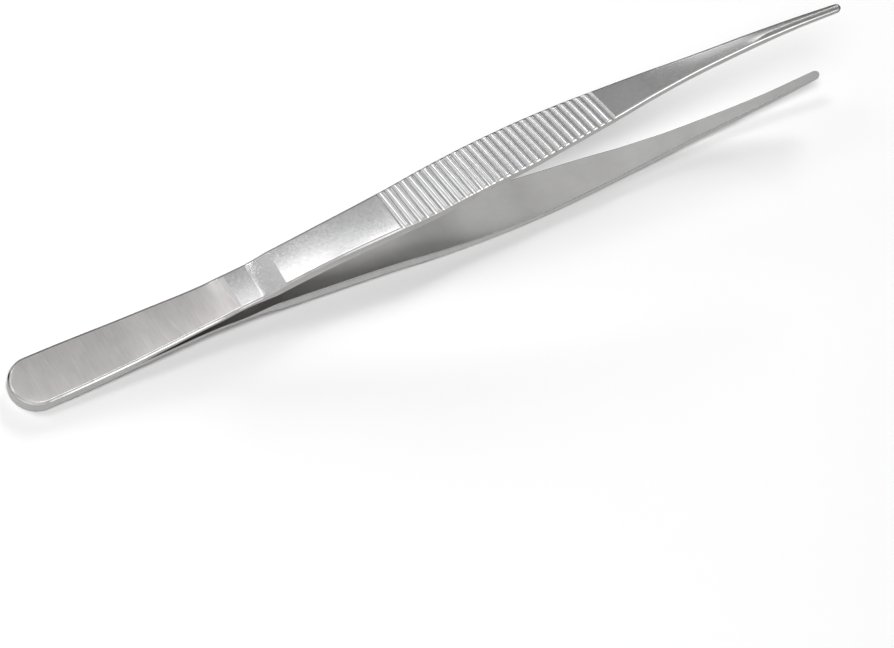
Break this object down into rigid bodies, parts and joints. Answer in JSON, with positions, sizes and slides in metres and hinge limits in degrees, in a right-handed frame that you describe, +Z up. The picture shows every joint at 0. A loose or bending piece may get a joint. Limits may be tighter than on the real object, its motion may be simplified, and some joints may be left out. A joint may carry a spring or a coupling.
{
  "type": "straight precision tweezers",
  "caption": "Straight stainless tweezers: bowed arms spot-welded at a round butt, ground spring leaves, cross-ribbed finger grips and slender jaws that meet at the tips when squeezed.",
  "frame": {"origin": "on the surface that the tweezers lie on, under the middle of their box", "axes": "+X from the butt towards the tips, +Y across the arms, +Z up from the surface; the lower arm lies on its butt and on the fullest part of its bow, so the plane between the arms rises 5.766 degrees towards the tips"},
  "size_m": [0.1602, 0.0094, 0.0288],
  "materials": {
    "steel_brushed": "brushed across the strip, fine scratches",
    "steel_polished": "tumble-polished, faintly mottled",
    "steel_satin": "smooth satin",
    "weld_metal": "as welded, hidden between the leaves"
  },
  "bodies": {
    "butt": {"upper_butt_leaf": "steel_brushed", "lower_butt_leaf": "steel_brushed", "rear_weld_nugget": "weld_metal", "front_weld_nugget": "weld_metal"},
    "upper_arm": {"upper_spring_leaf": "steel_brushed", "upper_shank": "steel_polished", "upper_ribbed_grip": "steel_polished", "upper_jaw": "steel_satin"},
    "lower_arm": {"lower_spring_leaf": "steel_brushed", "lower_shank": "steel_polished", "lower_ribbed_grip": "steel_polished", "lower_jaw": "steel_satin"}
  },
  "joints": [
    {"name": "upper_arm_flex", "type": "hinge", "parent": "butt", "child": "upper_arm", "pos_m": [-0.04646, 0, 0.00587], "axis": [0, 1, 0], "range_deg": [-1, 4.6], "stiffness_Nm_per_rad": 4.5},
    {"name": "lower_arm_flex", "type": "hinge", "parent": "butt", "child": "lower_arm", "pos_m": [-0.04621, 0, 0.00338], "axis": [0, -1, 0], "range_deg": [-1, 4.6], "stiffness_Nm_per_rad": 4.5}
  ]
}
